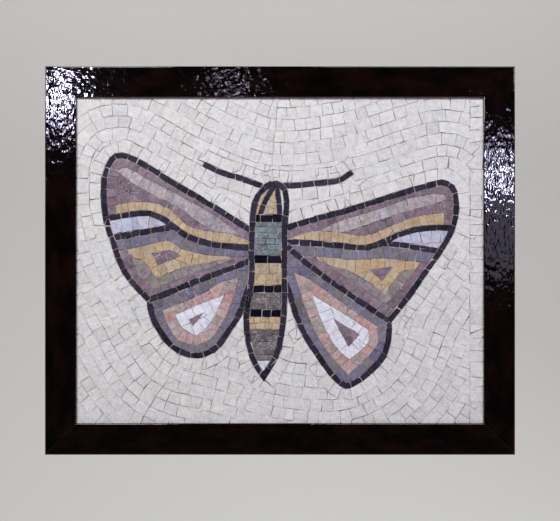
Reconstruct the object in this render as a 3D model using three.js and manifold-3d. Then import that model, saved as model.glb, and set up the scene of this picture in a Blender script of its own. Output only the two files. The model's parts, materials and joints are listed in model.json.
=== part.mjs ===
// A stone mosaic of a moth with spread wings, on a mortar bed and a backing board, in a flat
// wooden frame. Millimetres, +Z up. The picture faces -Y, and the origin is the middle of the
// back, which lies flat on the wall.

import * as THREE from "three";
import { mergeVertices } from "three/addons/utils/BufferGeometryUtils.js";
import Module from "manifold-3d";

const wasm = await Module();
wasm.setup();

// The opening of the frame, and its rails
const sightWidth = 350;
const sightHeight = 280;
const railFace = 27;
const railDepth = 20;
const rebateWidth = 6;
const rebateDepth = 6;
const easedEdge = 1.6;
const crown = 0.5;
const clearance = 0.3;

// The layers behind the picture's face
const boardThickness = rebateDepth - clearance;
const mortarBack = rebateDepth;
const mortarThickness = 3;
const stoneBack = mortarBack + mortarThickness + clearance;
const stoneThickness = 7.5;

// The laying of the stones
const jointWidth = 0.6;
const lineWidth = 4.5;
const bodyBarHeight = 6;
const curveFacet = 5;

const outerWidth = sightWidth + 2 * railFace;
const outerHeight = sightHeight + 2 * railFace;

const wood = { roughness: 0.25, metalness: 0 };
const stone = { roughness: 0.45, metalness: 0 };
const finishes = {
  rail: { color: 0x2a1210, ...wood },
  board: { color: 0x8f7352, roughness: 0.8, metalness: 0 },
  mortar: { color: 0xa39c94, roughness: 0.95, metalness: 0 },
  cream: { color: 0xd0cccb, ...stone },
  black: { color: 0x393443, ...stone },
  mauve: { color: 0x83717f, ...stone },
  beige: { color: 0x958995, ...stone },
  ochre: { color: 0xb9a184, ...stone },
  white: { color: 0xb4b6c8, ...stone },
  grey: { color: 0x6e6876, ...stone },
  olive: { color: 0x877f7c, ...stone },
  peach: { color: 0xa98f90, ...stone },
  teal: { color: 0x757b83, ...stone },
  pale: { color: 0xcfc6cb, ...stone },
};

const point = ([x, z]) => new THREE.Vector2(x, z);

// A line through a few knots: straight through two, smooth through more.
function line(knots) {
  if (knots.length === 2) return knots.map(point);
  const curve = new THREE.CatmullRomCurve3(knots.map(([x, z]) => new THREE.Vector3(x, z, 0)));
  const facets = Math.ceil(curve.getLength() / curveFacet);
  return curve.getSpacedPoints(facets).map(({ x, y }) => new THREE.Vector2(x, y));
}

// A closed outline, counter-clockwise, from sides that each start where the last one ended.
function outline(...sides) {
  const points = [];
  for (const side of sides) {
    for (const next of line(side)) {
      const last = points.at(-1);
      if (!last || last.distanceTo(next) > jointWidth) points.push(next);
    }
  }
  if (points[0].distanceTo(points.at(-1)) < jointWidth) points.pop();
  return THREE.ShapeUtils.isClockWise(points) ? points.reverse() : points;
}

// How far to move a point so that both lines that meet there move by one unit to their right.
function mitre(before, here, after) {
  const arriving = here.clone().sub(before).normalize();
  const leaving = after.clone().sub(here).normalize();
  const along = arriving.clone().add(leaving).normalize();
  const stretch = Math.min(2, 1 / Math.max(along.dot(leaving), 0.01));
  return new THREE.Vector2(along.y, -along.x).multiplyScalar(stretch);
}

function grown(points, distance) {
  const count = points.length;
  return points.map((here, i) => {
    const shift = mitre(points[(i + count - 1) % count], here, points[(i + 1) % count]);
    return here.clone().addScaledVector(shift, distance);
  });
}

// The outline of a course of stones laid along a line, with square ends.
function course(knots, width) {
  const middle = line(knots);
  const last = middle.length - 1;
  const side = (distance) =>
    middle.map((here, i) => {
      const before = i > 0 ? middle[i - 1] : here.clone().multiplyScalar(2).sub(middle[1]);
      const after = i < last ? middle[i + 1] : here.clone().multiplyScalar(2).sub(middle[last - 1]);
      return here.clone().addScaledVector(mitre(before, here, after), distance);
    });
  return [...side(width / 2), ...side(-width / 2).reverse()];
}

function rectangle(left, right, bottom, top) {
  return [[left, bottom], [right, bottom], [right, top], [left, top]].map(point);
}

function toSolid(geometry) {
  const bare = geometry.clone();
  bare.deleteAttribute("normal");
  bare.deleteAttribute("uv");
  const merged = mergeVertices(bare, 1e-4);
  return new wasm.Manifold(
    new wasm.Mesh({
      numProp: 3,
      vertProperties: new Float32Array(merged.attributes.position.array),
      triVerts: new Uint32Array(merged.index.array),
    })
  );
}

function toGeometry(solid) {
  const { vertProperties, triVerts } = solid.getMesh();
  const geometry = new THREE.BufferGeometry();
  geometry.setAttribute("position", new THREE.BufferAttribute(vertProperties, 3));
  geometry.setIndex(new THREE.BufferAttribute(triVerts, 1));
  geometry.computeVertexNormals();
  return geometry;
}

// A flat slab on the picture's plane, from one height above it to another.
function slab(points, from, to) {
  const shape = new THREE.Shape(points);
  const geometry = new THREE.ExtrudeGeometry(shape, { depth: to - from, bevelEnabled: false });
  return toSolid(geometry.translate(0, 0, from));
}

const stoneSlab = (points) => slab(points, 0, stoneThickness);
const cuttingSlab = (points) => slab(points, -stoneThickness, 2 * stoneThickness);

function largestPiece(solid) {
  return solid.decompose().sort((a, b) => b.volume() - a.volume())[0];
}

function named(name, geometry, finish) {
  const mesh = new THREE.Mesh(geometry, new THREE.MeshStandardMaterial(finishes[finish]));
  mesh.name = name;
  return mesh;
}

// The picture is drawn flat and stood up, so its own x, y and z are the panel's x, z and -y.
const picture = new THREE.Group();
picture.rotation.x = Math.PI / 2;
picture.position.y = -stoneBack;

// What is laid already, with its joints. Each new area keeps clear of it.
let laid = cuttingSlab(rectangle(-sightWidth, sightWidth, sightHeight, sightHeight + 1));

// Lays stones of one kind inside the given outlines, as far as they are inside the border.
function lay(name, finish, outlines, border) {
  let piece = wasm.Manifold.union(outlines.map(stoneSlab));
  let room = wasm.Manifold.union(outlines.map((each) => cuttingSlab(grown(each, jointWidth))));
  if (border) {
    piece = piece.intersect(cuttingSlab(border));
    room = room.intersect(cuttingSlab(border));
  }
  piece = largestPiece(piece.subtract(laid)).simplify(0.02);
  picture.add(named(name, toGeometry(piece), finish));
  laid = laid.add(room);
}

// The frame: one rail, drawn as the lower one, with its ends cut to 45 degrees.
function rail(name, length, angle, distance) {
  const profile = new THREE.Shape();
  profile.moveTo(0, 0);
  profile.lineTo(0, railDepth - easedEdge - crown);
  profile.lineTo(easedEdge, railDepth - crown);
  profile.lineTo(railFace / 2, railDepth);
  profile.lineTo(railFace - easedEdge, railDepth - crown);
  profile.lineTo(railFace, railDepth - easedEdge - crown);
  profile.lineTo(railFace, rebateDepth);
  profile.lineTo(railFace - rebateWidth, rebateDepth);
  profile.lineTo(railFace - rebateWidth, 0);
  const geometry = new THREE.ExtrudeGeometry(profile, { depth: length, bevelEnabled: false });
  const corner = geometry.attributes.position;
  const mitreGap = clearance / Math.SQRT2;
  for (let i = 0; i < corner.count; i += 1) {
    const inward = corner.getX(i) + mitreGap;
    const along = corner.getZ(i);
    corner.setZ(i, along < length / 2 ? inward : length - inward);
  }
  geometry.translate(0, 0, -length / 2);
  // Inward becomes +Z, forward -Y and along +X.
  geometry.applyMatrix4(
    new THREE.Matrix4().makeBasis(
      new THREE.Vector3(0, 0, 1),
      new THREE.Vector3(0, -1, 0),
      new THREE.Vector3(1, 0, 0)
    )
  );
  geometry.computeVertexNormals();
  const mesh = named(name, geometry, "rail");
  mesh.rotation.y = angle;
  mesh.position.set(-Math.sin(angle) * distance, 0, -Math.cos(angle) * distance);
  return mesh;
}

function box(name, width, height, back, thickness, finish) {
  const mesh = named(name, new THREE.BoxGeometry(width, thickness, height), finish);
  mesh.position.y = -back - thickness / 2;
  return mesh;
}

// The moth's body, from the tip of its tail up its left side and down its right
const body = outline([
  [-14, -100], [-22, -88], [-28, -66], [-29, -48], [-25, -20], [-24, 26], [-21, 52],
  [-14, 62], [-6, 66], [3, 63], [6, 50], [4, 30], [3, -50], [-3, -81], [-14, -100],
]);
const bodyLeft = -34;
const bodyRight = 10;
const headTop = 68;
const bars = { collar: 36.5, waist: 1, upper_abdomen: -24.5, lower_abdomen: -45.5 };
const leftHeadLine = [[-5, 65], [-12, 53], [-18, bars.collar]];
const rightHeadLine = [[-3, 65], [-1, 52], [0, bars.collar]];

// The bands of the body below the head, from their upper to their lower level
const bodyBands = [
  ["thorax_tesserae", "teal", bars.collar, bars.waist],
  ["abdomen_ochre_upper", "ochre", bars.waist, bars.upper_abdomen],
  ["abdomen_dark_upper", "grey", bars.upper_abdomen, bars.lower_abdomen],
  ["abdomen_ochre_lower", "ochre", bars.lower_abdomen, -59],
  ["abdomen_dark_lower", "grey", -59, -86],
  ["tail_tip", "pale", -86, -100],
];

function layBody() {
  const rim = cuttingSlab(grown(body, -lineWidth / 2));
  const room = cuttingSlab(grown(body, lineWidth / 2 + jointWidth));
  const hollow = cuttingSlab(grown(body, -lineWidth / 2 - jointWidth));
  const ring = stoneSlab(grown(body, lineWidth / 2)).subtract(rim);
  picture.add(named("body_outline", toGeometry(largestPiece(ring)), "black"));
  laid = laid.add(room.subtract(hollow));

  for (const [place, level] of Object.entries(bars)) {
    const bar = rectangle(bodyLeft, bodyRight, level - bodyBarHeight / 2, level + bodyBarHeight / 2);
    lay(`bar_${place}`, "black", [bar], body);
  }
  lay("head_line_left", "black", [course(leftHeadLine, lineWidth - 0.5)], body);
  lay("head_line_right", "black", [course(rightHeadLine, lineWidth - 0.5)], body);

  const [leftFoot, rightFoot] = [leftHeadLine.at(-1), rightHeadLine.at(-1)];
  const corners = { left: [bodyLeft, headTop], right: [bodyRight, headTop] };
  const leftCheek = outline(leftHeadLine, [leftFoot, [bodyLeft, bars.collar]],
    [[bodyLeft, bars.collar], corners.left], [corners.left, leftHeadLine[0]]);
  const rightCheek = outline(rightHeadLine, [rightFoot, [bodyRight, bars.collar]],
    [[bodyRight, bars.collar], corners.right], [corners.right, rightHeadLine[0]]);
  lay("cheek_left", "ochre", [leftCheek], body);
  lay("cheek_right", "pale", [rightCheek], body);
  const brow = outline(leftHeadLine, [leftFoot, rightFoot], rightHeadLine.toReversed());
  lay("brow", "ochre", [brow], body);

  for (const [name, finish, top, bottom] of bodyBands) {
    lay(name, finish, [rectangle(bodyLeft, bodyRight, bottom, top)], body);
  }
}

// Each wing pair. The edges, veins and dividers are the middle lines of the black courses.
// An area's sides are its own edges, and where it ends at a black course they run under it.
// The vein meets the wing's edge at the knot veinKnot, and the patch line the vein at patchKnot.
const leftWings = {
  antenna: [[-16, 64], [-26, 68], [-34, 71], [-46, 74], [-58, 79], [-66, 83]],
  foreEdge: [
    [-22, 24], [-35, 32], [-52, 43], [-94, 68], [-130, 89], [-141, 90], [-149, 80],
    [-152, 62], [-150, 36], [-142, 10], [-136, -6], [-128, -18], [-113, -34],
  ],
  divider: [[-113, -34], [-91, -26], [-70, -17], [-48, -9], [-22, 1]],
  hindEdge: [
    [-113, -34], [-109, -51], [-94, -73], [-85, -79], [-74, -82], [-65, -81],
    [-54, -74], [-43, -59], [-34, -44], [-31, -33], [-27, -22], [-22, -12],
  ],
  vein: [
    [-150, 36], [-133, 39], [-115, 41], [-105, 38], [-91, 29],
    [-82, 22], [-70, 17], [-52, 13], [-22, 11],
  ],
  patchLine: [[-147, 19], [-120, 24], [-91, 29]],
  veinKnot: 8,
  patchKnot: 4,
  beige: [
    [[-140, 77], [-133, 80], [-115, 70], [-84, 54], [-53, 36], [-36, 23]],
    [[-36, 23], [-50, 24], [-62, 28], [-74, 36], [-85, 45], [-105, 55], [-124, 65], [-140, 77]],
  ],
  ochreTop: [
    [-141, 48], [-127, 50], [-112, 50], [-102, 47], [-91, 40], [-80, 30], [-68, 26],
    [-42, 22], [-22, 15],
  ],
  ochreEnd: [-141, 37],
  bandFoot: [[-146, 9], [-130, 10], [-112, 14], [-96, 17], [-84, 10], [-62, 5], [-22, 3]],
  ringFoot: [[-44, 2], [-64, -2], [-87, -7], [-107, -16]],
  ringMargin: [[-107, -16], [-112, -6], [-117, 0], [-126, 3], [-131, 10]],
  oliveFoot: [[-42, 1], [-77, -12], [-111, -25]],
  oliveMargin: [[-111, -25], [-122, -10], [-127, 1]],
  eye: [[[-110, 6], [-95, 9]], [[-95, 9], [-86, 4]], [[-86, 4], [-105, -4]]],
  hindEye: [[[-78, -51], [-66, -45]], [[-66, -45], [-75, -56]]],
  hindWhite: [
    [[-90, -47], [-69, -38], [-48, -30]],
    [[-48, -30], [-57, -48], [-65, -60], [-73, -65]],
    [[-73, -65], [-84, -58], [-90, -47]],
  ],
  hindPeach: [
    [[-101, -43], [-69, -30], [-52, -20], [-36, -15]],
    [[-36, -15], [-40, -30], [-51, -55], [-61, -68], [-74, -73]],
    [[-74, -73], [-89, -67], [-95, -58], [-101, -43]],
  ],
};

const rightWings = {
  antenna: [[0, 64], [18, 65], [34, 67], [47, 68], [55, 71], [62, 76]],
  foreEdge: [
    [2, 27], [24, 34], [50, 41], [83, 51], [129, 65], [141, 67], [149, 62],
    [152, 50], [149, 28], [134, 2], [124, -12], [110, -32], [94, -52],
  ],
  divider: [[94, -52], [67, -34], [45, -19], [25, -4], [2, 16]],
  hindEdge: [
    [94, -52], [94, -64], [91, -79], [84, -89], [66, -105], [57, -108], [49, -103],
    [35, -85], [21, -63], [15, -50], [10, -35], [6, -22], [1, -12],
  ],
  vein: [
    [149, 28], [127, 28], [110, 25], [97, 20], [87, 15], [75, 11], [50, 13], [25, 15], [2, 16],
  ],
  patchLine: [[141, 7], [113, 12], [87, 15]],
  veinKnot: 8,
  patchKnot: 4,
  beige: [
    [[33, 25], [50, 33], [86, 44], [111, 53], [139, 57], [144, 53]],
    [[144, 53], [132, 49], [104, 41], [83, 34], [60, 26], [44, 23], [33, 25]],
  ],
  ochreTop: [
    [141, 41], [119, 38], [100, 31], [83, 24], [72, 21], [50, 24], [27, 25], [14, 21], [2, 17],
  ],
  ochreEnd: [141, 29],
  bandFoot: [[142, -2], [119, -1], [90, 2], [60, 1], [33, 4], [14, 5]],
  ringFoot: [[33, 4], [42, -4], [58, -8], [74, -17], [90, -29]],
  ringMargin: [[90, -29], [97, -19], [105, -9], [117, -7], [121, 0]],
  oliveFoot: [[33, 1], [52, -11], [70, -23], [91, -38]],
  oliveMargin: [[91, -38], [106, -20], [118, -6]],
  eye: [[[77, -8], [97, -6]], [[97, -6], [88, -17]]],
  hindEye: [[[46, -50], [68, -64]], [[68, -64], [59, -74]]],
  hindWhite: [
    [[28, -30], [56, -47], [76, -60]],
    [[76, -60], [76, -70], [60, -85]],
    [[60, -85], [49, -75], [40, -60], [34, -47], [28, -30]],
  ],
  hindPeach: [
    [[12, -10], [27, -18], [61, -42], [84, -57]],
    [[84, -57], [84, -71], [76, -82], [59, -98]],
    [[59, -98], [51, -90], [35, -69], [26, -51], [12, -10]],
  ],
};

function layWings(side, wings) {
  const { foreEdge, divider, hindEdge, vein, patchLine, ochreTop, bandFoot } = wings;
  const root = [divider.at(-1), foreEdge[0]];
  const foreWing = outline(foreEdge, divider, root);
  const hindWing = outline(hindEdge, [hindEdge.at(-1), divider.at(-1)], divider.toReversed());

  lay(`antenna_${side}`, "black", [course(wings.antenna, lineWidth)]);
  lay(`forewing_${side}_outline`, "black", [course(foreEdge, lineWidth)]);
  lay(`wing_divider_${side}`, "black", [course(divider, lineWidth)]);
  lay(`hindwing_${side}_outline`, "black", [course(hindEdge, lineWidth)]);
  const veins = [course(vein, lineWidth), course(patchLine, lineWidth)];
  lay(`forewing_${side}_veins`, "black", veins, foreWing);

  const patch = outline(vein.slice(0, wings.patchKnot + 1), patchLine.toReversed());
  lay(`forewing_${side}_white_patch`, "white", [patch], foreWing);
  const band = outline(vein, [vein.at(-1), bandFoot.at(-1)], bandFoot.toReversed());
  lay(`forewing_${side}_grey_band`, "grey", [band], foreWing);
  const ochre = outline(ochreTop, [ochreTop.at(-1), vein.at(-1)], vein.slice(1).toReversed(),
    [vein[1], wings.ochreEnd]);
  lay(`forewing_${side}_ochre_stripe`, "ochre", [ochre], foreWing);
  lay(`forewing_${side}_beige_stripe`, "beige", [outline(...wings.beige)], foreWing);
  const leadingEdge = foreEdge.slice(0, wings.veinKnot + 1);
  lay(`forewing_${side}_mauve_field`, "mauve", [outline(leadingEdge, vein)], foreWing);

  // Below the band: an eye in a ring, with two borders round its lower sides
  const ringTop = [patchLine[1], vein.at(-2)];
  const ringSides = [wings.ringFoot, wings.ringMargin];
  const oliveSides = [wings.oliveFoot, wings.oliveMargin];
  const under = (sides) => {
    const [from, to] = [sides[0][0], sides.at(-1).at(-1)];
    return outline(...sides, [to, ringTop[0]], ringTop, [ringTop[1], from]);
  };
  lay(`forewing_${side}_eye`, "mauve", [outline(...wings.eye)], foreWing);
  lay(`forewing_${side}_ochre_ring`, "ochre", [under(ringSides)], foreWing);
  lay(`forewing_${side}_olive_border`, "olive", [under(oliveSides)], foreWing);
  lay(`forewing_${side}_mauve_border`, "mauve", [foreWing]);

  lay(`hindwing_${side}_eye`, "mauve", [outline(...wings.hindEye)], hindWing);
  lay(`hindwing_${side}_white_ring`, "white", [outline(...wings.hindWhite)], hindWing);
  lay(`hindwing_${side}_peach_ring`, "peach", [outline(...wings.hindPeach)], hindWing);
  lay(`hindwing_${side}_grey_ring`, "grey", [hindWing]);
}

layBody();
layWings("left", leftWings);
layWings("right", rightWings);
const fieldRight = sightWidth / 2 - clearance;
const fieldTop = sightHeight / 2 - clearance;
lay("cream_field", "cream", [rectangle(-fieldRight, fieldRight, -fieldTop, fieldTop)]);

const group = new THREE.Group();
group.add(
  rail("frame_bottom_rail", outerWidth, 0, outerHeight / 2),
  rail("frame_left_rail", outerHeight, Math.PI / 2, outerWidth / 2),
  rail("frame_top_rail", outerWidth, Math.PI, outerHeight / 2),
  rail("frame_right_rail", outerHeight, -Math.PI / 2, outerWidth / 2),
  box("backing_board", sightWidth + 2 * (rebateWidth - clearance),
    sightHeight + 2 * (rebateWidth - clearance), 0, boardThickness, "board"),
  box("mortar_bed", 2 * fieldRight, 2 * fieldTop, mortarBack, mortarThickness, "mortar"),
  picture
);

export default group;
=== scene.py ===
"""The looks of a framed stone mosaic: every stone cut and set, grout, varnished wood, light."""

import json
import math
import random
from collections import namedtuple
from itertools import pairwise

import bmesh
import bpy
from mathutils import Matrix, Vector, noise
from mathutils.geometry import delaunay_2d_cdt


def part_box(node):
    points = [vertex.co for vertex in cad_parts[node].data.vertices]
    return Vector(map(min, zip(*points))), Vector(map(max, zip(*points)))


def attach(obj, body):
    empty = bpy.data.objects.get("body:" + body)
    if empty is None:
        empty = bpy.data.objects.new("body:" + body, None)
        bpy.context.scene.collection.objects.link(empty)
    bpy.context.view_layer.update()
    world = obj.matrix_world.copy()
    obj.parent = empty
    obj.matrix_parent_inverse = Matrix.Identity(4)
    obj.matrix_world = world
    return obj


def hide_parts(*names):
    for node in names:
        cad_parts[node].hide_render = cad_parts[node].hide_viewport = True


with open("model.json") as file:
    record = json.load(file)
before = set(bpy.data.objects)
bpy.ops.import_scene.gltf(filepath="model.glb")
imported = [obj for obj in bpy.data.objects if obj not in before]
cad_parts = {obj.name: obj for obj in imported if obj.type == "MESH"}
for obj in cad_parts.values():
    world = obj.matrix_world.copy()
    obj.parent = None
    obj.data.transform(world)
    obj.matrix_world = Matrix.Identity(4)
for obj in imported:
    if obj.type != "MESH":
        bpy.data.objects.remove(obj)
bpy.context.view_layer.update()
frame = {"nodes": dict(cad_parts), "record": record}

MM = 0.001

# The opening of the frame, in millimetres
SIGHT_WIDTH = 350.0
SIGHT_HEIGHT = 280.0
# Stones and joints, in millimetres
STONE_BACK = -9.3
STONE_FRONT = -16.75
AREA_GAP = 0.6
NECK = 1.1
THINNEST = 0.5
CRUMB = 4.0
SMALLEST_SHARE = 0.25
SHORTEST_EDGE = 1.0
CORNER_CHIP = 0.45
ROUNDED_EDGE = 0.5
UNEVENNESS = 0.38
LIFT = 0.14
LEAN = 0.055
RIM_REACH = 0.8
RIM_GAP = 0.05
GROUT_FRONT = -16.2
GROUT_HOLLOWS = 2.6
# The share of a joint's width that is cut from the stone on each side of it
JOINT_SHARE = 0.7
# How far the length of a stone strays from the usual, and how far its ends lean
LENGTH_SPREAD = (0.78, 1.25)
SKEW = 0.06
MOST_ROWS = 12
# The field's courses, from the moth outwards and inwards, and the column down its right edge
FIELD_PITCH = 10.0
FIELD_ROWS = range(-9, 12)
EDGE_COLUMN = 11.5
# Frame rails, in millimetres
RAIL_FACE = 27.0
RAIL_DEPTH = 20.0
REBATE = 6.0
OUTER_EASE = 1.0
INNER_EASE = 0.8
MITRE_EASE = 0.25
MITRE_GAP = 0.14

CORNER_ANGLE = math.radians(38)
STRAIGHT_ANGLE = math.radians(12)


# ---------------------------------------------------------------- outlines of the areas

def front_outlines(node):
    """The outlines of a node's front face as points (x, z) in millimetres: the face lies to
    the left of each, so the outer one runs counter-clockwise and the holes clockwise."""
    bm = bmesh.new()
    bm.from_mesh(frame["nodes"][node].data)
    bmesh.ops.remove_doubles(bm, verts=bm.verts, dist=2e-5)
    front = min(v.co.y for v in bm.verts)
    faces = dict.fromkeys(f for f in bm.faces if all(v.co.y - front < 1e-5 for v in f.verts))
    following = {}
    for face in faces:
        for loop in face.loops:
            if sum(other in faces for other in loop.edge.link_faces) == 1:
                following[loop.vert] = loop.link_loop_next.vert
    outlines = []
    while following:
        start, here = following.popitem()
        outline = [start]
        while here is not start:
            outline.append(here)
            here = following.pop(here)
        outlines.append(grown([Vector((v.co.x, v.co.z)) / MM for v in outline], AREA_GAP / 2))
    bm.free()
    return sorted(outlines, key=signed_area, reverse=True)


def grown(outline, distance):
    """The outline moved to its right by the distance, with its corners kept."""
    moved = []
    for before, here, after in zip(outline[-1:] + outline[:-1], outline, outline[1:] + outline[:1]):
        arriving = (here - before).normalized()
        leaving = (after - here).normalized()
        middle = (arriving + leaving).normalized()
        reach = distance / max(0.5, middle.dot(arriving))
        moved.append(here + Vector((middle.y, -middle.x)) * reach)
    return moved


def signed_area(points):
    return sum(a.cross(b) for a, b in pairwise([*points, points[0]])) / 2


def length_of(points):
    return sum((b - a).length for a, b in pairwise(points))


def sides(outline):
    """The stretches of an outline between its corners, the longest first."""
    count = len(outline)

    def turn(i):
        arriving = outline[i] - outline[i - 1]
        leaving = outline[(i + 1) % count] - outline[i]
        return abs(arriving.angle_signed(leaving, 0))

    corners = [i for i in range(count) if turn(i) > CORNER_ANGLE]
    if not corners:
        return [[*outline, outline[0]]]
    stretches = []
    for first, last in pairwise([*corners, corners[0] + count]):
        stretches.append([outline[i % count] for i in range(first, last + 1)])
    return sorted(stretches, key=length_of, reverse=True)


# ---------------------------------------------------------------- courses of stones

class Guide:
    """A line that courses of stones follow. Depth is measured to its left."""

    def __init__(self, points, closed=False):
        self.points = points
        ahead = [(b - a).normalized() for a, b in pairwise(points)]
        if closed:
            bends = [ahead[-1] + ahead[0], *(a + b for a, b in pairwise(ahead)), ahead[-1] + ahead[0]]
        else:
            bends = [ahead[0], *(a + b for a, b in pairwise(ahead)), ahead[-1]]
        self.headings = [bend.normalized() for bend in bends]
        self.marks = [0.0]
        for a, b in pairwise(points):
            self.marks.append(self.marks[-1] + (b - a).length)
        self.length = self.marks[-1]

    def at(self, along, depth):
        if along <= 0:
            point, heading = self.points[0], self.headings[0]
            point = point + heading * along
        elif along >= self.length:
            point, heading = self.points[-1], self.headings[-1]
            point = point + heading * (along - self.length)
        else:
            i = self.stretch(along)
            share = (along - self.marks[i]) / (self.marks[i + 1] - self.marks[i])
            point = self.points[i].lerp(self.points[i + 1], share)
            heading = self.headings[i].lerp(self.headings[i + 1], share).normalized()
        return point + Vector((-heading.y, heading.x)) * depth

    def stretch(self, along):
        low, high = 0, len(self.marks) - 1
        while high - low > 1:
            middle = (low + high) // 2
            low, high = (middle, high) if self.marks[middle] <= along else (low, middle)
        return low

    def cuts(self, depth, pitch, overrun, rng):
        """Places along the guide that lie about one pitch apart at the given depth."""
        step = pitch / 8
        place = -overrun
        here = self.at(place, depth)
        walked, goal = 0, pitch * rng.uniform(0.3, 1)
        places = [place]
        while place < self.length + overrun:
            place += step
            there = self.at(place, depth)
            walked += (there - here).length
            here = there
            if walked >= goal:
                places.append(place)
                walked, goal = 0, pitch * rng.uniform(*LENGTH_SPREAD)
        return [*places, self.length + overrun]

    def course(self, near, far, pitch, overrun, rng):
        """The cells of one course between two depths, cut across nearly square."""
        skew = pitch * SKEW
        cuts = self.cuts((near + far) / 2, pitch, overrun, rng)
        ends = []
        for along in cuts:
            start = self.at(along + rng.gauss(0, skew), near)
            ends.append((start, self.at(along + rng.gauss(0, skew), far)))
        cells = []
        for (a, b), (c, d) in pairwise(ends):
            cell = [a, c, d, b]
            corners = zip(cell, cell[1:] + cell[:1], cell[2:] + cell[:2])
            if all((q - p).cross(r - q) > 0 for p, q, r in corners):
                cells.append(cell)
        return cells


def mean_width(outlines):
    perimeter = sum(length_of([*outline, outline[0]]) for outline in outlines)
    return 2 * sum(signed_area(outline) for outline in outlines) / perimeter


def courses_in(outlines, width, length, rng):
    """Cells for an area: a course along each side, then more courses from the longest."""
    across = mean_width(outlines)
    rows = max(1, round(across / width))
    pitch = across / rows if across > 0.7 * width else width
    if rows == 1:
        pitch = max(across * 1.3, width)
    cells = []
    for side in sides(outlines[0]):
        if length_of(side) > 1.5 * width:
            cells += Guide(side).course(-2, pitch, length, width, rng)
    longest = Guide(sides(outlines[0])[0])
    for row in range(1, MOST_ROWS):
        cells += longest.course(row * pitch, (row + 1) * pitch, length, 3 * width, rng)
    return cells


def level_rows(outlines, height, length, rng):
    """Cells in level rows from the bottom of an area to its top."""
    left, right = (choose(p.x for p in outlines[0]) for choose in (min, max))
    bottom, top = (choose(p.y for p in outlines[0]) for choose in (min, max))
    rows = round((top - bottom) / height)
    pitch = (top - bottom + 1) / rows
    base = Guide([Vector((left, bottom - 0.5)), Vector((right, bottom - 0.5))])
    cells = []
    for row in range(rows):
        cells += base.course(row * pitch, (row + 1) * pitch, length, 1, rng)
    return cells


# ---------------------------------------------------------------- cutting the stones

def pieces_of(outlines, cells, smallest):
    """Cuts an area along the cells, an earlier cell before a later one, and joins what is too
    small or too thin to the stone that it shares its longest edge with. Returns vertices,
    triangles and the stone that each triangle belongs to."""
    outer, *holes = outlines
    shapes = [outer, *(hole[::-1] for hole in holes), *cells]
    points = [p for shape in shapes for p in shape]
    starts = [0]
    for shape in shapes:
        starts.append(starts[-1] + len(shape))
    faces = [list(range(a, b)) for a, b in pairwise(starts)]
    verts, _, triangles, _, _, origins = delaunay_2d_cdt(points, [], faces, 0, 1e-4)
    kept, labels = [], []
    for triangle, origin in zip(triangles, origins):
        if 0 in origin and all(i == 0 or i > len(holes) for i in origin):
            kept.append(triangle)
            labels.append(min((i for i in origin if i > len(holes)), default=-1))
    stones = join_small(verts, kept, connected(verts, kept, labels), smallest)
    inner_sides = [0] * len(kept)
    for i, j in edges_between(kept).values():
        if stones[i] == stones[j]:
            inner_sides[i] += 1
            inner_sides[j] += 1
    solid = [
        i for i, triangle in enumerate(kept)
        if inner_sides[i] > 1 or thickness(verts, triangle) > THINNEST
    ]
    kept = [kept[i] for i in solid]
    stones = connected(verts, kept, [stones[i] for i in solid])
    area = {}
    for triangle, stone in zip(kept, stones):
        area[stone] = area.get(stone, 0) + signed_area([verts[i] for i in triangle])
    whole = [i for i, stone in enumerate(stones) if area[stone] > CRUMB]
    return verts, [kept[i] for i in whole], [stones[i] for i in whole]


def thickness(verts, triangle):
    corners = [verts[i] for i in triangle]
    longest = max((b - a).length for a, b in pairwise([*corners, corners[0]]))
    return 2 * signed_area(corners) / longest


def edges_between(triangles):
    """Each inner edge with the two triangles beside it."""
    beside = {}
    for i, triangle in enumerate(triangles):
        for a, b in pairwise([*triangle, triangle[0]]):
            beside.setdefault((min(a, b), max(a, b)), []).append(i)
    return {edge: pair for edge, pair in beside.items() if len(pair) == 2}


def connected(verts, triangles, labels):
    """Numbers the groups of triangles that have the same label and no thin neck between them."""
    parent = list(range(len(triangles)))

    def root(i):
        while parent[i] != i:
            parent[i] = parent[parent[i]]
            i = parent[i]
        return i

    for (a, b), (i, j) in edges_between(triangles).items():
        if labels[i] == labels[j] and (verts[a] - verts[b]).length > NECK:
            parent[root(i)] = root(j)
    return [root(i) for i in range(len(triangles))]


def join_small(verts, triangles, stones, smallest):
    area, border, shared = {}, {}, {}
    for triangle, stone in zip(triangles, stones):
        a, b, c = (verts[i] for i in triangle)
        area[stone] = area.get(stone, 0) + abs((b - a).cross(c - a)) / 2
        for p, q in pairwise([a, b, c, a]):
            border[stone] = border.get(stone, 0) + (q - p).length
    for (a, b), (i, j) in edges_between(triangles).items():
        size = (verts[a] - verts[b]).length
        i, j = stones[i], stones[j]
        if i == j:
            border[i] -= 2 * size
        else:
            for one, other in ((i, j), (j, i)):
                row = shared.setdefault(one, {})
                row[other] = row.get(other, 0) + size
    now = {stone: stone for stone in area}
    thinnest = math.sqrt(smallest) * 0.5

    def needs_joining(stone):
        thin = 2 * area[stone] / border[stone] < thinnest
        return (area[stone] < smallest or thin) and shared.get(stone)

    waiting = sorted((s for s in area if needs_joining(s)), key=area.get)
    while waiting:
        stone = waiting.pop(0)
        if now[stone] != stone or not needs_joining(stone):
            continue
        into = max(shared[stone], key=shared[stone].get)
        common = shared[stone].pop(into)
        shared[into].pop(stone)
        area[into] += area.pop(stone)
        border[into] += border.pop(stone) - 2 * common
        for other, size in shared.pop(stone).items():
            shared[other].pop(stone)
            shared[other][into] = shared[other].get(into, 0) + size
            shared[into][other] = shared[into].get(other, 0) + size
        now[stone] = into
        if needs_joining(into) and into not in waiting:
            waiting.append(into)

    def final(stone):
        while now[stone] != stone:
            stone = now[stone]
        return stone

    return [final(stone) for stone in stones]


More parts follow.
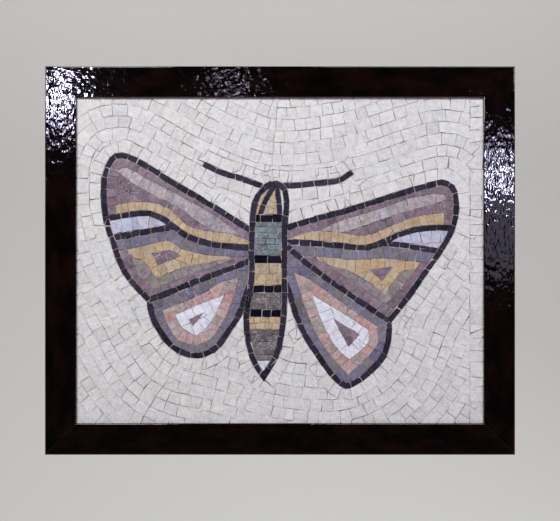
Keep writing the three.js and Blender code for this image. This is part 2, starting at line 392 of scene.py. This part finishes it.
def cut_stones(outlines, cells, cut, rng):
    """The stones of an area as closed, chipped and slightly tilted solids."""
    verts, triangles, stones = pieces_of(outlines, cells, cut.width * cut.length * SMALLEST_SHARE)
    bm = bmesh.new()
    made = [bm.verts.new((p.x * MM, STONE_FRONT * MM, p.y * MM)) for p in verts]
    stone_of = {}
    for triangle, stone in zip(triangles, stones):
        stone_of[bm.faces.new([made[i] for i in triangle])] = stone
    inner = [
        e for e in bm.edges
        if len(e.link_faces) == 2 and len({stone_of[f] for f in e.link_faces}) == 1
    ]
    bmesh.ops.dissolve_edges(bm, edges=inner, use_verts=False)
    bmesh.ops.delete(bm, geom=[v for v in bm.verts if not v.link_faces], context="VERTS")
    bmesh.ops.split_edges(bm, edges=bm.edges)
    bmesh.ops.dissolve_limit(bm, angle_limit=STRAIGHT_ANGLE, verts=bm.verts, edges=bm.edges)
    bmesh.ops.dissolve_degenerate(bm, dist=SHORTEST_EDGE * MM, edges=bm.edges)
    for v in bm.verts:
        v.co += Vector((rng.gauss(0, cut.wobble), 0, rng.gauss(0, cut.wobble))) * MM

    tone = bm.faces.layers.float.new("tone")
    tint = bm.faces.layers.float.new("tint")
    seed = bm.faces.layers.float.new("seed")
    faces = sorted(bm.faces, key=lambda f: f.calc_center_median()[:])
    rng.shuffle(faces)
    for face in faces:
        face[tone] = rng.gauss(0, 0.5)
        face[tint] = rng.gauss(0, 0.5)
        face[seed] = rng.uniform(0, 1)
    widths = len(cut.joints)
    for i, joint in enumerate(cut.joints):
        ring = bmesh.ops.inset_individual(bm, faces=faces[i::widths], thickness=joint * JOINT_SHARE * MM)
        bmesh.ops.delete(bm, geom=ring["faces"], context="FACES")
    for v in bm.verts:
        for axis, half in ((0, SIGHT_WIDTH / 2), (2, SIGHT_HEIGHT / 2)):
            if abs(v.co[axis]) / MM > half - RIM_REACH:
                v.co[axis] = math.copysign((half - RIM_GAP) * MM, v.co[axis])
    bmesh.ops.bevel(
        bm, geom=bm.verts, offset=CORNER_CHIP * MM, segments=1, profile=0.5,
        affect="VERTICES", clamp_overlap=True, material=-1,
    )

    fronts = list(bm.faces)
    backs = bmesh.ops.extrude_face_region(bm, geom=fronts, use_keep_orig=True)["geom"]
    bmesh.ops.translate(
        bm, verts=[v for v in backs if isinstance(v, bmesh.types.BMVert)],
        vec=(0, (STONE_BACK - STONE_FRONT) * MM, 0),
    )
    for face in fronts:
        centre = face.calc_center_median()
        lean = Vector((rng.gauss(0, LEAN), 0, rng.gauss(0, LEAN)))
        lift = rng.gauss(0, LIFT) * MM
        for v in face.verts:
            v.co.y += max(-UNEVENNESS * MM, min(UNEVENNESS * MM, lift + lean.dot(v.co - centre)))
    rims = dict.fromkeys(e for f in fronts for e in f.edges)
    bmesh.ops.bevel(
        bm, geom=list(rims), offset=ROUNDED_EDGE * MM, segments=2, profile=0.5,
        affect="EDGES", clamp_overlap=True, material=-1,
    )
    bmesh.ops.recalc_face_normals(bm, faces=bm.faces)
    return bm


# ---------------------------------------------------------------- materials

class Finish:
    """A material in the making, with a short way to add nodes to it."""

    def __init__(self, name, roughness):
        self.material = bpy.data.materials.new(name)
        self.material.use_nodes = True
        self.tree = self.material.node_tree
        self.shader = self.tree.nodes["Principled BSDF"]
        self.shader.inputs["Roughness"].default_value = roughness
        self.place = self.node("TexCoord", {}, output=3)

    def node(self, kind, inputs, output=0, **settings):
        """Adds a node; an input, by number, is a value or another node's output."""
        node = self.tree.nodes.new("ShaderNode" + kind)
        for key, value in settings.items():
            setattr(node, key, value)
        for key, value in inputs.items():
            if isinstance(value, bpy.types.NodeSocket):
                self.tree.links.new(value, node.inputs[key])
            else:
                node.inputs[key].default_value = value
        return node.outputs[output]

    def noise(self, place, scale, detail=3.0, roughness=0.6):
        return self.node("TexNoise", {0: place, 2: scale, 3: detail, 4: roughness})

    def add_times(self, base, value, factor):
        return self.node("Math", {0: value, 1: factor, 2: base}, operation="MULTIPLY_ADD")

    def about_zero(self, value):
        return self.node("Math", {0: value, 1: 0.5}, operation="SUBTRACT")

    def times(self, colour, factor):
        return self.node("VectorMath", {0: colour, 3: factor}, operation="SCALE")

    def plus(self, one, other):
        return self.node("VectorMath", {0: one, 1: other}, operation="ADD")

    def threshold(self, value, low, high):
        return self.node("MapRange", {0: value, 1: low, 2: high}, interpolation_type="SMOOTHSTEP")

    def own(self, attribute):
        return self.node("Attribute", {}, output=2, attribute_name=attribute)

    def paint(self, colour):
        self.tree.links.new(colour, self.shader.inputs["Base Color"])

    def emboss(self, relief, strength, height, *coats):
        bump = self.node("Bump", {0: strength, 1: height, 3: relief})
        for socket in ("Normal", *coats):
            self.tree.links.new(bump, self.shader.inputs[socket])


# Features per metre of a marble's clouds and of its grain, and how strongly they show
CLOUDS = 240.0
GRAIN = 900.0
MOTTLING = 2.2
PATCH_EDGE = 0.12


def stone(
    name, colour, tone, tint, grain=0.4, relief=0.0008, patches=(), shine=0.3, roughness=0.7
):
    """Cut marble: each stone has its own tone, tint and place in the block. Patches are
    (size in millimetres, colour they add, how much of the block is free of them)."""
    finish = Finish(name, roughness)
    spot = finish.plus(finish.place, finish.times((7.0, 3.0, 5.0), finish.own("seed")))
    clouds = finish.noise(spot, CLOUDS, 4.0)
    fine = finish.noise(spot, GRAIN, 3.0, 0.7)
    light = finish.add_times(1.0, finish.own("tone"), tone)
    light = finish.add_times(light, finish.about_zero(clouds), grain * MOTTLING)
    light = finish.add_times(light, finish.about_zero(fine), grain * MOTTLING)
    surface = finish.times(colour, light)
    surface = finish.plus(surface, finish.times(tint, finish.own("tint")))
    for size, added, clear in patches:
        cover = finish.threshold(finish.noise(spot, 1 / (size * MM), 3.0), clear, clear + PATCH_EDGE)
        surface = finish.plus(surface, finish.times(added, cover))
    finish.paint(surface)
    finish.shader.inputs["Specular IOR Level"].default_value = shine
    finish.emboss(finish.add_times(clouds, fine, 0.25), 1.0, relief)
    return finish.material


def grout(name):
    """Sandy lime mortar, darker where dust has settled in it."""
    finish = Finish(name, 0.95)
    dust = finish.noise(finish.place, 45.0, 4.0)
    sand = finish.noise(finish.place, 900.0, 4.0, 0.7)
    light = finish.add_times(1.0, finish.about_zero(dust), 2.2)
    light = finish.add_times(light, finish.about_zero(sand), 0.6)
    finish.paint(finish.times((0.38, 0.34, 0.325), light))
    finish.emboss(sand, 0.8, 0.0004)
    return finish.material


def varnished_wood(name, along_grain):
    """Dark red-brown open-grained wood under a clear varnish, with a painted highlight along its inner
    arris: a lighter red in dashes.
    """
    finish = Finish(name, 0.45)
    along = finish.node("Mapping", {0: finish.place, 3: along_grain})
    bands = finish.threshold(finish.noise(along, 90.0, 4.0), 0.35, 0.7)
    wood = finish.plus((0.0010, 0.0003, 0.0003), finish.times((0.0055, 0.0015, 0.0014), bands))
    # A lighter red in dashes along the inner arris: a painted highlight where the eased edge catches
    # light.
    highlight_dashes = finish.threshold(finish.noise(finish.place, 140.0, 4.0), 0.42, 0.6)
    arris_highlight_mask = finish.node("Math", {0: finish.own("arris"), 1: highlight_dashes}, operation="MULTIPLY")
    finish.paint(finish.plus(wood, finish.times((0.05, 0.012, 0.012), arris_highlight_mask)))
    finish.shader.inputs["Specular IOR Level"].default_value = 0.0
    finish.shader.inputs["Coat Weight"].default_value = 1.0
    finish.shader.inputs["Coat Roughness"].default_value = 0.05
    pores = finish.noise(along, 400.0, 1.0, 0.4)
    waves = finish.noise(finish.place, 110.0, 2.0, 0.5)
    finish.emboss(finish.add_times(pores, waves, 1.5), 1.0, 0.00011, "Coat Normal")
    return finish.material


def plywood(name):
    finish = Finish(name, 0.8)
    along = finish.node("Mapping", {0: finish.place, 3: (0.12, 1.0, 1.0)})
    grain = finish.noise(along, 110.0, 6.0)
    figure = finish.noise(along, 22.0, 3.0)
    light = finish.add_times(1.0, finish.about_zero(grain), 0.9)
    light = finish.add_times(light, finish.about_zero(figure), 0.7)
    finish.paint(finish.times((0.42, 0.28, 0.16), light))
    finish.emboss(grain, 0.4, 0.0003)
    return finish.material


def plain(name, colour):
    finish = Finish(name, 0.9)
    finish.shader.inputs["Base Color"].default_value = (*colour, 1)
    return finish.material


# ---------------------------------------------------------------- pieces

SLOTS = {row["node"]: row["material_slot"] for row in frame["record"]["subparts"]}


def add_piece(name, bm, material, node):
    mesh = bpy.data.meshes.new(name)
    bm.to_mesh(mesh)
    bm.free()
    mesh.materials.append(material)
    piece = bpy.data.objects.new(name, mesh)
    bpy.context.scene.collection.objects.link(piece)
    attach(piece, "root")
    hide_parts(node)


# The width and length of the stones, the joints between them, and how unevenly they are cut,
# by the slot or the node that they are laid in
Cut = namedtuple("Cut", "width length joints wobble", defaults=((0.15, 0.25, 0.35), 0.12))
CUTS = {
    "black_marble": Cut(4.5, 9.0, (0.3, 0.45, 0.6), 0.2),
    "mauve_stone": Cut(5.6, 7.5),
    "beige_stone": Cut(7.5, 8.0),
    "ochre_stone": Cut(7.5, 5.5),
    "white_stone": Cut(6.5, 7.5),
    "grey_stone": Cut(5.6, 7.0),
    "olive_stone": Cut(6.0, 6.5),
    "peach_stone": Cut(6.5, 6.5),
    "pale_stone": Cut(6.0, 7.0),
    "cream_marble": Cut(10.0, 10.0, (0.12, 0.22, 0.32, 0.5), 0.2),
    "thorax_tesserae": Cut(4.8, 7.5),
    "abdomen_ochre_upper": Cut(9.5, 6.5),
    "abdomen_dark_upper": Cut(4.8, 8.5),
    "abdomen_ochre_lower": Cut(5.3, 6.5),
    "abdomen_dark_lower": Cut(5.4, 7.5),
}
LAID_LEVEL = {
    "thorax_tesserae",
    "abdomen_ochre_upper",
    "abdomen_dark_upper",
    "abdomen_ochre_lower",
    "abdomen_dark_lower",
}


def quarry():
    """The stones' materials, by the slot or the node that they are laid in."""
    rust = (5.0, (-0.05, -0.075, -0.13), 0.6)
    cream_cloud = (9.0, (0.0, -0.015, -0.035), 0.5)
    dust = (4.0, (-0.06, -0.05, -0.04), 0.6)
    burnt = (3.5, (0.03, -0.06, -0.09), 0.53)
    pale_spot = (3.0, (0.06, 0.09, 0.1), 0.6)
    marbles = {
        "black_marble": stone(
            "navy_black_marble", (0.017, 0.013, 0.029), tone=0.5, tint=(0.004, 0.0, 0.003),
            grain=1.2, relief=0.0008, patches=((1.2, (0.03, 0.026, 0.045), 0.56),),
            shine=0.15, roughness=0.5,
        ),
        "mauve_stone": stone(
            "plum_marble", (0.2, 0.143, 0.185), tone=0.22, tint=(0.025, 0.0, 0.01),
            grain=0.7, relief=0.001, patches=((2.5, (0.07, 0.06, 0.06), 0.58),),
        ),
        "beige_stone": stone(
            "warm_grey_marble", (0.375, 0.325, 0.355), tone=0.16, tint=(0.02, 0.015, -0.02),
            grain=0.7, relief=0.001, patches=((3.0, (0.08, 0.08, 0.09), 0.58),),
        ),
        "ochre_stone": stone(
            "golden_marble", (0.45, 0.335, 0.225), tone=0.14, tint=(0.03, -0.002, -0.035),
            grain=0.45, relief=0.001, patches=((4.0, (0.06, 0.08, 0.10), 0.56),),
        ),
        "white_stone": stone(
            "bluish_white_marble", (0.45, 0.445, 0.56), tone=0.14, tint=(0.03, 0.0, -0.03),
            grain=0.5, relief=0.001, patches=((3.5, (-0.12, -0.11, -0.1), 0.62),),
        ),
        "grey_stone": stone(
            "slate_grey_marble", (0.168, 0.152, 0.2), tone=0.2, tint=(0.012, 0.012, -0.025),
            grain=0.6, relief=0.001, patches=((2.5, (0.06, 0.055, 0.05), 0.6),),
        ),
        "olive_stone": stone(
            "olive_marble", (0.24, 0.205, 0.215), tone=0.2, tint=(0.0, 0.015, -0.03),
            grain=0.6, relief=0.001,
        ),
        "peach_stone": stone(
            "peach_marble", (0.42, 0.305, 0.305), tone=0.16, tint=(0.05, -0.015, -0.01),
            grain=0.6, relief=0.001, patches=(burnt, pale_spot),
        ),
        "pale_stone": stone(
            "pale_pink_marble", (0.60, 0.54, 0.575), tone=0.1, tint=(0.03, 0.0, 0.0)
        ),
        "cream_marble": stone(
            "cream_field_marble", (0.64, 0.63, 0.635), tone=0.06, tint=(0.012, -0.003, -0.01),
            grain=0.25, relief=0.0011, patches=(rust, cream_cloud, dust),
        ),
        "thorax_tesserae": stone(
            "blue_green_marble", (0.17, 0.185, 0.205), tone=0.35, tint=(-0.02, 0.015, 0.02),
            grain=0.7, relief=0.0012, patches=((3.0, (0.03, 0.12, 0.16), 0.52),),
        ),
        "abdomen_ochre_upper": stone(
            "veined_golden_marble", (0.44, 0.345, 0.235), tone=0.16, tint=(0.04, 0.015, -0.01),
            grain=0.4, relief=0.001, patches=((4.0, (-0.12, -0.13, -0.13), 0.52),),
        ),
    }
    bright_white = stone(
        "clear_white_marble", (0.66, 0.655, 0.74), tone=0.07, tint=(0.02, 0.0, -0.02)
    )
    for node in ("tail_tip", "hindwing_left_white_ring", "hindwing_right_white_ring"):
        marbles[node] = bright_white
    speckled = stone(
        "speckled_dark_marble", (0.13, 0.112, 0.124), tone=0.3, tint=(0.006, 0.0, -0.006),
        grain=0.7, relief=0.0012, patches=((1.8, (0.22, 0.21, 0.19), 0.54),),
    )
    for node in ("abdomen_dark_upper", "abdomen_dark_lower"):
        marbles[node] = speckled
    bar_black = stone(
        "deep_black_marble", (0.007, 0.005, 0.014), tone=0.5, tint=(0.001, 0.0, 0.001),
        grain=1.0, relief=0.0004, shine=0.04, roughness=0.45,
    )
    for node in ("bar_collar", "bar_waist", "bar_upper_abdomen", "bar_lower_abdomen"):
        marbles[node] = bar_black
    return marbles


# The line that the field's courses follow, about 40 mm outside the wings, in millimetres
FIELD_GUIDE = [
    (-8, 82), (-63, 102), (-111, 128), (-138, 135), (-167, 128), (-187, 106), (-195, 75),
    (-192, 38), (-184, 4), (-172, -24), (-152, -58), (-138, -84), (-120, -108), (-96, -122),
    (-74, -127), (-40, -136), (-14, -144), (20, -149), (57, -149), (92, -136), (118, -114),
    (134, -86), (145, -57), (160, -34), (177, -8), (190, 22), (194, 50), (187, 80),
    (168, 102), (142, 110), (112, 104), (60, 88),
]


def smooth_loop(knots, step):
    """A closed smooth line through the knots, with a point about every step."""
    points = []
    count = len(knots)
    for i in range(count):
        a, b, c, d = (Vector(knots[(i + k) % count]) for k in (-1, 0, 1, 2))
        parts = max(1, round((c - b).length / step))
        for j in range(parts):
            t = j / parts
            points.append(
                b + (c - a) * (t / 2) + (a * 2 - b * 5 + c * 4 - d) * (t * t / 2)
                + (b * 3 - a - c * 3 + d) * (t ** 3 / 2)
            )
    return [*points, points[0]]


def field_cells(outlines, width, length, rng):
    """The field: a column down its right edge, a course round the moth, then the long courses."""
    right = max(p.x for p in outlines[0])
    bottom, top = (choose(p.y for p in outlines[0]) for choose in (min, max))
    edge = Guide([Vector((right, bottom)), Vector((right, top))])
    cells = edge.course(-2, EDGE_COLUMN, length, 0, rng)
    for hole in outlines[1:]:
        for side in sides(hole):
            if length_of(side) > 2 * width:
                cells += Guide(side).course(-1, FIELD_PITCH, length, width / 2, rng)
    guide = Guide(smooth_loop(FIELD_GUIDE, 4), closed=True)
    for row in FIELD_ROWS:
        near = row * FIELD_PITCH
        cells += guide.course(near, near + FIELD_PITCH, length, 0, rng)
    return cells


def lay_area(node, material, number):
    """The stones of one area of the picture, in place of its solid."""
    cut = CUTS.get(node) or CUTS[SLOTS[node]]
    rng = random.Random(number)
    outlines = front_outlines(node)
    courses = courses_in
    if node == "cream_field":
        courses = field_cells
    elif node in LAID_LEVEL:
        courses = level_rows
    cells = courses(outlines, cut.width, cut.length, rng)
    add_piece(f"{node}_stones", cut_stones(outlines, cells, cut, rng), material, node)


# ---------------------------------------------------------------- frame, grout and board

def lay_grout(material):
    """The mortar between the stones, up to their edges and hollow in places."""
    low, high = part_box("mortar_bed")
    bm = bmesh.new()
    bmesh.ops.create_grid(bm, x_segments=150, y_segments=120, size=0.5)
    for v in bm.verts:
        x = low.x + (v.co.x + 0.5) * (high.x - low.x)
        z = low.z + (v.co.y + 0.5) * (high.z - low.z)
        hollow = max(0, noise.noise(Vector((x, 0, z)) * 150) - 0.05)
        v.co = Vector((x, (GROUT_FRONT + GROUT_HOLLOWS * hollow) * MM, z))
    edge = [e for e in bm.edges if e.is_boundary]
    skirt = bmesh.ops.extrude_edge_only(bm, edges=edge)["geom"]
    for v in skirt:
        if isinstance(v, bmesh.types.BMVert):
            v.co.y = high.y
    back_rim = [e for e in skirt if isinstance(e, bmesh.types.BMEdge)]
    bmesh.ops.contextual_create(bm, geom=back_rim)
    bmesh.ops.recalc_face_normals(bm, faces=bm.faces)
    add_piece("grout", bm, material, "mortar_bed")


def make_rail(node, turn, opening, across, material):
    """A mitred, rebated rail with eased edges, made as the bottom rail and turned to its side.
    The frame's opening measures opening along the rail and across at right angles to it."""
    length = opening + 2 * RAIL_FACE
    section = [
        (0, 0), (RAIL_FACE - REBATE, 0), (RAIL_FACE - REBATE, -REBATE), (RAIL_FACE, -REBATE),
        (RAIL_FACE, -RAIL_DEPTH), (0, -RAIL_DEPTH),
    ]
    bm = bmesh.new()
    face = bm.faces.new([bm.verts.new((0, y, u)) for u, y in section])
    ends = bmesh.ops.extrude_face_region(bm, geom=[face], use_keep_orig=True)["geom"]
    far_end = {v for v in ends if isinstance(v, bmesh.types.BMVert)}
    for v in bm.verts:
        mitred = min(length / 2, length / 2 - v.co.z + MITRE_GAP)
        v.co.x = mitred if v in far_end else -mitred
    for u, radius in ((0, OUTER_EASE), (RAIL_FACE, INNER_EASE)):
        arris = [e for e in bm.edges if all(v.co.z == u and v.co.y == -RAIL_DEPTH for v in e.verts)]
        eased = bmesh.ops.bevel(
            bm, geom=arris, offset=radius, segments=5, profile=0.5, affect="EDGES", material=-1
        )
        for face in eased["faces"]:
            face.smooth = True
    bmesh.ops.recalc_face_normals(bm, faces=bm.faces)
    near_front = 2 - RAIL_DEPTH
    mitre = [
        e for e in bm.edges
        if any(abs(f.normal.x) > 0.5 for f in e.link_faces)
        and all(v.co.y < near_front for v in e.verts)
    ]
    bmesh.ops.bevel(
        bm, geom=mitre, offset=MITRE_EASE, segments=2, profile=0.5, affect="EDGES", material=-1
    )
    # Marks the inner arris, where the varnish gets a painted highlight.
    arris_highlight_mask = bm.verts.layers.float.new("arris")
    for v in bm.verts:
        v[arris_highlight_mask] = float(v.co.z > RAIL_FACE - INNER_EASE * 0.8 and v.co.y < 3 - RAIL_DEPTH)
    bmesh.ops.translate(bm, verts=bm.verts, vec=(0, 0, -across / 2 - RAIL_FACE))
    bmesh.ops.scale(bm, verts=bm.verts, vec=(MM, MM, MM))
    bmesh.ops.rotate(bm, verts=bm.verts, cent=(0, 0, 0), matrix=Matrix.Rotation(turn, 3, "Y"))
    add_piece(f"{node}_varnished", bm, material, node)


def dress_frame():
    level = varnished_wood("varnished_wood_level", (0.45, 1.0, 1.0))
    upright = varnished_wood("varnished_wood_upright", (1.0, 1.0, 0.45))
    quarter = math.pi / 2
    make_rail("frame_bottom_rail", 0, SIGHT_WIDTH, SIGHT_HEIGHT, level)
    make_rail("frame_left_rail", quarter, SIGHT_HEIGHT, SIGHT_WIDTH, upright)
    make_rail("frame_top_rail", 2 * quarter, SIGHT_WIDTH, SIGHT_HEIGHT, level)
    make_rail("frame_right_rail", -quarter, SIGHT_HEIGHT, SIGHT_WIDTH, upright)
    board = frame["nodes"]["backing_board"]
    board.data.materials.clear()
    board.data.materials.append(plywood("plywood"))


# ---------------------------------------------------------------- studio

def area_light(name, place, target, size, power, colour=(1, 1, 1)):
    data = bpy.data.lights.new(name, "AREA")
    data.shape = "RECTANGLE"
    data.size, data.size_y = size
    data.energy = power
    data.color = colour
    lamp = bpy.data.objects.new(name, data)
    lamp.location = place
    lamp.rotation_euler = (Vector(target) - Vector(place)).to_track_quat("-Z", "Y").to_euler()
    lamp.visible_camera = False
    bpy.context.scene.collection.objects.link(lamp)
    return lamp


def studio():
    scene = bpy.context.scene
    scene.view_settings.view_transform = "Standard"
    world = bpy.data.worlds.new("studio")
    world.use_nodes = True
    world.node_tree.nodes["Background"].inputs[0].default_value = (0.95, 0.97, 1.0, 1)
    world.node_tree.nodes["Background"].inputs[1].default_value = 0.02
    scene.world = world

    bm = bmesh.new()
    bmesh.ops.create_grid(bm, x_segments=1, y_segments=1, size=8)
    bmesh.ops.translate(bm, verts=bm.verts, vec=(0, 0, -0.9))
    far = [v for v in bm.verts if v.co.y > 0]
    for v in far:
        v.co.y = 3.5
    edge = [e for e in bm.edges if all(v in far for v in e.verts)]
    up = bmesh.ops.extrude_edge_only(bm, edges=edge)["geom"]
    bmesh.ops.translate(bm, verts=[v for v in up if isinstance(v, bmesh.types.BMVert)], vec=(0, 0, 8))
    bmesh.ops.bevel(bm, geom=edge, offset=1.2, segments=16, profile=0.5, affect="EDGES", material=-1)
    mesh = bpy.data.meshes.new("studio_sweep")
    bm.to_mesh(mesh)
    bm.free()
    mesh.shade_smooth()
    mesh.materials.append(plain("studio_grey", (0.72, 0.71, 0.69)))
    sweep = bpy.data.objects.new("studio_sweep", mesh)
    scene.collection.objects.link(sweep)

    camera_data = bpy.data.cameras.new("camera")
    camera_data.lens = 100
    camera = bpy.data.objects.new("camera", camera_data)
    distance = 0.4822 * camera_data.lens / camera_data.sensor_width + 0.017
    camera.location = (0, -distance, 0)
    camera.rotation_euler = (math.pi / 2, 0, 0)
    scene.collection.objects.link(camera)
    scene.camera = camera

    middle = (0, 0, 0)
    area_light("key", (-0.5, -1.0, 0.62), middle, (0.3, 0.3), 8.8, (1.0, 0.99, 0.93))
    area_light("top_fill", (0.45, -1.1, 0.8), middle, (0.7, 0.4), 12, (0.85, 0.89, 1.0))
    area_light("low_fill", (0.6, -1.3, -0.9), middle, (1.0, 0.5), 2.2, (1.0, 0.2, 0.3))
    area_light("backdrop_light", (0, 1.2, 3.5), (0, 3.2, 0.2), (3, 1), 110)
    area_light("back_fill", (1.5, 1.8, 1.2), middle, (1.5, 1.5), 25)
    for name, x, z, size, glow in (
        ("left_glint", -0.190, 0.143, (0.025, 0.035), 260),
        ("left_sparkle", -0.190, 0.125, (0.02, 0.05), 60),
        ("right_glint", 0.189, 0.069, (0.02, 0.03), 150),
        ("right_sparkle", 0.189, 0.08, (0.03, 0.09), 20),
        ("top_glint", -0.042, 0.150, (0.03, 0.006), 70),
        ("right_haze", 0.189, 0.04, (0.12, 0.2), 1.5),
    ):
        place = (2 * x, camera.location.y, 2 * z)
        area_light(name, place, (x, 0, z), size, glow * math.pi * size[0] * size[1], (0.72, 0.7, 1.0))


marbles = quarry()
for number, node in enumerate(sorted(frame["nodes"])):
    material = marbles.get(node) or marbles.get(SLOTS[node])
    if material:
        lay_area(node, material, number)
lay_grout(grout("mortar"))
dress_frame()
studio()
